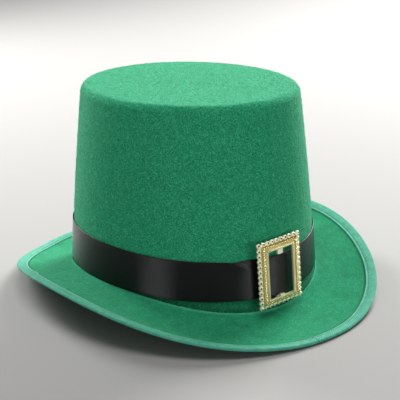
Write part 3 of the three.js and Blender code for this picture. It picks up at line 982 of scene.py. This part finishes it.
def frame_face():
    """The four-sided face as a closed ring: its front slopes up from the beads to a yellow band and an inner
    border with fine ribs, and its back follows it. Also gives how yellow it is and its painted shade in the grooves
    and rib valleys."""
    inward = np.concatenate([
        [-0.6 * MM, -0.6 * MM], np.linspace(-0.5, 3.7, 9) * MM, np.linspace(3.9, 6.6, 10) * MM,
        [6.8 * MM, 7.0 * MM, FACE_WIDTH],
    ])
    steps = 320
    side = np.arange(4 * steps) // steps
    share = (np.arange(4 * steps) % steps) / steps
    corners = np.array([[-1, -1], [1, -1], [1, 1], [-1, 1]])
    start = corners[side]
    end = np.roll(corners, -1, axis=0)[side]
    direction = start + (end - start) * share[:, None]
    trim = np.where(direction[:, 1] < 0, FOOT_TRIM, END_TRIM)
    squeeze = (1 - trim / FACE_WIDTH)[:, None]

    def flat_points(across):
        half = np.stack([
            BUCKLE_WIDTH / 2 - across + 0 * squeeze, BUCKLE_HEIGHT / 2 - across * squeeze,
        ], axis=-1)
        return direction[:, None, :] * half

    flat = flat_points(inward)
    run = np.where((side % 2 == 0)[:, None], flat[..., 0], flat[..., 1])
    ribbed = np.clip((inward - 5.1 * MM) / (0.3 * MM), 0, 1) * np.clip((6.95 * MM - inward) / (0.2 * MM), 0, 1)
    slant = run + (inward[None, :] - 5 * MM) * 0.7
    wave = np.cos(slant * FULL_TURN / RIB_PITCH)
    crest = 0.5 * MM * np.exp(-((inward - 5.9 * MM) / (0.7 * MM)) ** 2)
    groove = np.exp(-((inward - 5.05 * MM) / (0.25 * MM)) ** 2)
    front = face_height(inward) + crest - 0.3 * MM * groove + np.where(inward >= FACE_WIDTH, -0.6 * MM, 0)
    front = front[None, :] + 0.32 * MM * wave * ribbed
    front[:, 0] = BEAD_STANDOFF - 0.9 * MM
    # Painted shade in the groove behind the beads, the groove by the border and the rib valleys.
    painted_recess_shade = 0.6 * np.clip((1.9 * MM - np.abs(inward - 3.1 * MM)) / (0.4 * MM), 0, 1) + 0.3 * groove
    painted_recess_shade = painted_recess_shade[None, :] + np.clip(-wave, 0, 1) * 0.65 * ribbed
    yellow = np.clip((5.2 * MM - inward) / (0.4 * MM), 0.55, 1)[None, :] + 0 * run
    back_inward = np.linspace(FACE_WIDTH, -0.6 * MM, 6)
    back_flat = flat_points(back_inward)
    back = np.broadcast_to(face_height(back_inward) - FACE_THICKNESS, back_flat.shape[:2])
    plain = np.zeros(back_flat.shape[:2])
    points = np.concatenate([
        np.concatenate([flat, front[..., None]], axis=-1),
        np.concatenate([back_flat, back[..., None]], axis=-1),
    ], axis=1)
    faces = grid_faces(points.shape[0], points.shape[1])
    marks = [np.concatenate([np.clip(mark, 0, 1), plain], axis=1).ravel() for mark in (yellow, painted_recess_shade)]
    return points.reshape(-1, 3), faces, *marks


def rounded_block(width, low_y, high_y, back_z, front_z, bevel):
    """A block with rounded edges: a superellipse section carried along z, drawn in towards the front."""
    spin = np.arange(40) * FULL_TURN / 40
    power = 0.35
    x = np.sign(np.cos(spin)) * np.abs(np.cos(spin)) ** power * width / 2
    y = np.sign(np.sin(spin)) * np.abs(np.sin(spin)) ** power * (high_y - low_y) / 2
    middle = (low_y + high_y) / 2
    profile = (
        (back_z, 0.5), (back_z, 0.0), (front_z - bevel, 0.0), (front_z - 0.3 * bevel, 0.1),
        (front_z, 0.28), (front_z, 0.6),
    )
    rows = [
        np.stack([x * (1 - inset), middle + y * (1 - inset), np.full_like(x, z)], axis=-1)
        for z, inset in profile
    ]
    return capped_grid(np.array(rows), (0, middle, back_z), (0, middle, front_z))


def make_buckle(material):
    """The moulded buckle: sloping face, dimpled border beads, rope, bar and lugs. Each shell comes with how
    yellow its points are and how much painted shade they carry in grooves and dimples."""
    places = bead_places()
    bead, bead_faces, dimple = dimpled_bead()
    beads = repeated(bead, bead_faces, places, bead_axes(places))
    rope = rope_strands()
    opening = BUCKLE_HEIGHT / 2 - FACE_WIDTH + END_TRIM
    opening_foot = FACE_WIDTH - FOOT_TRIM - BUCKLE_HEIGHT / 2
    band_edge = float(band_low(np.array([BUCKLE_TURN]))[0]) - BUCKLE_RISE - 2 * JOIN_GAP
    face_out = BEAD_STANDOFF + FACE_LIFT
    bar_top = band_edge + BAND_WIDTH - 2 * MM
    bar = rounded_block(BAR_WIDTH, band_edge - BAR_FOOT, bar_top, JOIN_GAP, JOIN_GAP + BAR_THICKNESS, 0.2 * MM)
    foot = rounded_block(BAR_WIDTH, band_edge - BAR_FOOT, band_edge, JOIN_GAP, BEAD_STANDOFF, 0.3 * MM)
    upper_lug = rounded_block(BAR_WIDTH, opening - LUG_HEIGHT, opening + 0.8 * MM, face_out - FACE_THICKNESS,
                              face_out + 0.2 * MM, 0.3 * MM)
    ridges = [
        rounded_block(1.25 * MM, opening_foot - 0.8 * MM, opening_foot + 1.3 * MM, face_out - FACE_THICKNESS,
                      face_out + 0.9 * MM, 0.4 * MM)
        for _ in range(3)
    ]
    for i, ridge in enumerate(ridges):
        ridge[0][:, 0] += (i - 1) * 1.35 * MM
    face_points, face_faces, face_yellow, face_painted_shade = frame_face()
    blocks = [bar, foot, *ridges]
    block_points = sum(len(block[0]) for block in blocks)
    points, faces = joined([(face_points, face_faces), beads, rope, *blocks, upper_lug])
    plain_beads = np.zeros(len(beads[0]))
    yellow = np.concatenate([
        face_yellow, plain_beads, np.full(len(rope[0]), 0.9), np.zeros(block_points),
        np.full(len(upper_lug[0]), -0.8),
    ])
    # Painted shade in the face's grooves and the beads' dimples.
    painted_recess_shade = np.zeros(len(points))
    painted_recess_shade[:len(face_painted_shade)] = face_painted_shade
    painted_recess_shade[len(face_painted_shade):len(face_painted_shade) + len(beads[0])] = np.tile(dimple, len(places))
    return add_mesh(
        "gilt_buckle", place_buckle(points), faces, material, attributes={"yellow": yellow, "painted_recess_shade": painted_recess_shade},
    )


def seam_line(turn):
    """How far along the felt the seam runs."""
    return brim_width(turn) - tape_width(turn) + SEAM_INSET


def make_stitches(material):
    """Sewing thread along the tape's seam, above and below: short capsules that follow the edge, a ball
    stretched along the seam, pressed in a little at both ends."""
    fine = ring_turns(3600)
    seam = on_brim(fine, seam_line(fine), 0.0)
    along, length = arc_length(seam)
    count = round(length / STITCH_PITCH)
    turn = np.interp(np.arange(count) * length / count, along, fine)
    thread, faces = ball(1.0, 6, 6)
    thread = thread[:, [2, 0, 1]] * np.array([STITCH_LENGTH / 2, STITCH_RADIUS, STITCH_RADIUS])
    parts = []
    for side in (1, -1):
        height = side * (TAPE_RADIUS - 0.22 * MM)
        middle = on_brim(turn, seam_line(turn), height)
        ahead = on_brim(turn + 0.002, seam_line(turn + 0.002), height) - middle
        ahead /= np.linalg.norm(ahead, axis=1)[:, None]
        lift = on_brim(turn, seam_line(turn), height + side * MM) - middle
        lift /= np.linalg.norm(lift, axis=1)[:, None]
        beyond = np.cross(ahead, lift)
        bow = np.where(np.abs(thread[:, 0]) > STITCH_LENGTH * 0.4, -0.5 * STITCH_RADIUS, 0)
        points = (middle[:, None]
                  + thread[None, :, 0, None] * ahead[:, None]
                  + thread[None, :, 1, None] * beyond[:, None]
                  + (thread[:, 2] + bow)[None, :, None] * lift[:, None])
        part_faces = faces[None] + (np.arange(count) * len(thread))[:, None, None]
        parts.append((points.reshape(-1, 3), part_faces.reshape(-1, 3)))
    points, all_faces = joined(parts)
    return add_mesh("tape_stitches", points, all_faces, material)


# The hat

GREEN = (0.014, 0.272, 0.121)
BRIM_GREEN = (0.0132, 0.247, 0.112)
PALE_GREEN = (0.1, 0.6, 0.36)
DARK_GREEN = (0.005, 0.125, 0.052)
crown_material = felt_material("crown_felt", GREEN, PALE_GREEN, DARK_GREEN, 0.8, 1150.0, 0.5 * MM, 0.16, 0.12)
brim_material = felt_material("brim_felt", BRIM_GREEN, PALE_GREEN, DARK_GREEN, 0.4, 1150.0, 0.25 * MM, 0.16, 0.38)
fibre_material = felt_material("loose_fibres", (0.06, 0.56, 0.31), PALE_GREEN, GREEN, 0.6, 400.0, 0.05 * MM, 0.2, 0.0)

crown_points, crown_faces, crown_painted_shade = crown_shell()
crown = add_mesh("crown_felt", crown_points, crown_faces, crown_material, attributes={"painted_shade": crown_painted_shade})
brim_points, brim_faces, crease_nap_and_highlight, brim_painted_shade = brim_shell()
brim = add_mesh(
    "brim_felt", brim_points, brim_faces, brim_material,
    attributes={"painted_crease_highlight": crease_nap_and_highlight, "painted_shade": brim_painted_shade},
)
tape_cloth = tape_material()
tape = make_tape(tape_cloth)
stitches = make_stitches(tape_cloth)
band = make_band(satin_material())
buckle = make_buckle(gold_material())


def crown_nap_weights():
    """Where loose fibres show on the crown: its outside, but not under the ribbon."""
    turn, level = turn_and_level(crown_points)
    place = np.arange(len(crown_points)) // CROWN_STEPS
    outside = place < 45 + OUTER_RINGS - 1
    over_band_low = level - band_low(turn)
    bare = (over_band_low < -0.6 * MM) | (over_band_low > BAND_WIDTH + 0.6 * MM)
    return (outside & bare).astype(float)


def brim_nap_weights():
    """Where loose fibres show on the brim: its top inside the tape, most of all along the crease."""
    place = np.arange(len(brim_points)) // RING_STEPS
    top = place < BRIM_ROWS - 9
    return top * (0.5 + 12 * crease_nap_and_highlight)


crown_fibres = make_fibres(
    "crown_fibres", crown_points, crown_faces, crown_nap_weights(), 32000, 2.3 * MM, 0.65 * MM, 0.075 * MM,
    fibre_material, 41,
)
brim_fibres = make_fibres(
    "brim_fibres", brim_points, brim_faces, brim_nap_weights(), 26000, 1.9 * MM, 0.25 * MM, 0.055 * MM,
    fibre_material, 43,
)

for piece, node, slot_name in (
    (crown, "crown", "crown_felt"),
    (brim, "brim", "brim_felt"),
    (tape, "brim_binding", "edge_tape"),
    (band, "hat_band", "satin_ribbon"),
    (buckle, "buckle", "gold_plate"),
):
    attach(piece, "root")
    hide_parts(node)
for piece, slot_name in ((stitches, "edge_tape"), (crown_fibres, "crown_felt"), (brim_fibres, "brim_felt")):
    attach(piece, "root")

# Floor and lights

def add_floor():
    """A wide pale floor at the level that the tape rests on."""
    lowest = min(corner[2] for corner in tape.bound_box)
    size = 12.0
    mesh = bpy.data.meshes.new("floor")
    mesh.from_pydata(
        [(-size, -size, lowest), (size, -size, lowest), (size, size, lowest), (-size, size, lowest)],
        [], [(0, 1, 2, 3)],
    )
    material, _, _ = new_material("pale_floor", Base_Color=(0.32, 0.312, 0.302, 1), Roughness=0.85)
    mesh.materials.append(material)
    floor = bpy.data.objects.new("floor", mesh)
    bpy.context.scene.collection.objects.link(floor)


def add_light(name, place, aim, size, power, tint=(1, 1, 1)):
    """A rectangular soft light at a place, facing a point, both in metres."""
    data = bpy.data.lights.new(name, "AREA")
    data.shape = "RECTANGLE"
    data.size, data.size_y = size
    data.energy = power
    data.color = tint
    light = bpy.data.objects.new(name, data)
    bpy.context.scene.collection.objects.link(light)
    way = np.array(aim) - np.array(place)
    back = -way / np.linalg.norm(way)
    right = np.cross([0, 0, 1], back)
    right /= np.linalg.norm(right)
    set_axes(light, right, np.cross(back, right), back, place)


def add_world(level):
    world = bpy.data.worlds.new("studio")
    world.use_nodes = True
    world.node_tree.nodes["Background"].inputs["Color"].default_value = (*level, 1)
    bpy.context.scene.world = world


add_floor()
add_world((0.18, 0.18, 0.19))
HAT_CENTRE = (0, 0, 0.07)
add_light("back_sky", (1.85, 0.8, 1.25), HAT_CENTRE, (1.1, 1.1), 89.0)
add_light("left_back_window", (-0.2, 1.31, 0.7), HAT_CENTRE, (0.5, 0.8), 24.0)
add_light("right_window", (1.25, 0.42, 0.42), HAT_CENTRE, (0.5, 0.8), 3.5)
add_light("front_sky", (-0.15, -0.3, 2.0), HAT_CENTRE, (1.0, 1.0), 19.5)
add_light("left_strip", (-1.2, -0.36, 0.09), HAT_CENTRE, (0.3, 0.16), 1.25)
add_light("left_strip_edge", (-1.2, -0.36, 0.09), HAT_CENTRE, (0.62, 0.16), 1.65)
add_light("right_strip", (0.44, -1.15, 0.09), HAT_CENTRE, (0.52, 0.16), 3.4)
bpy.context.scene.view_settings.view_transform = "Standard"
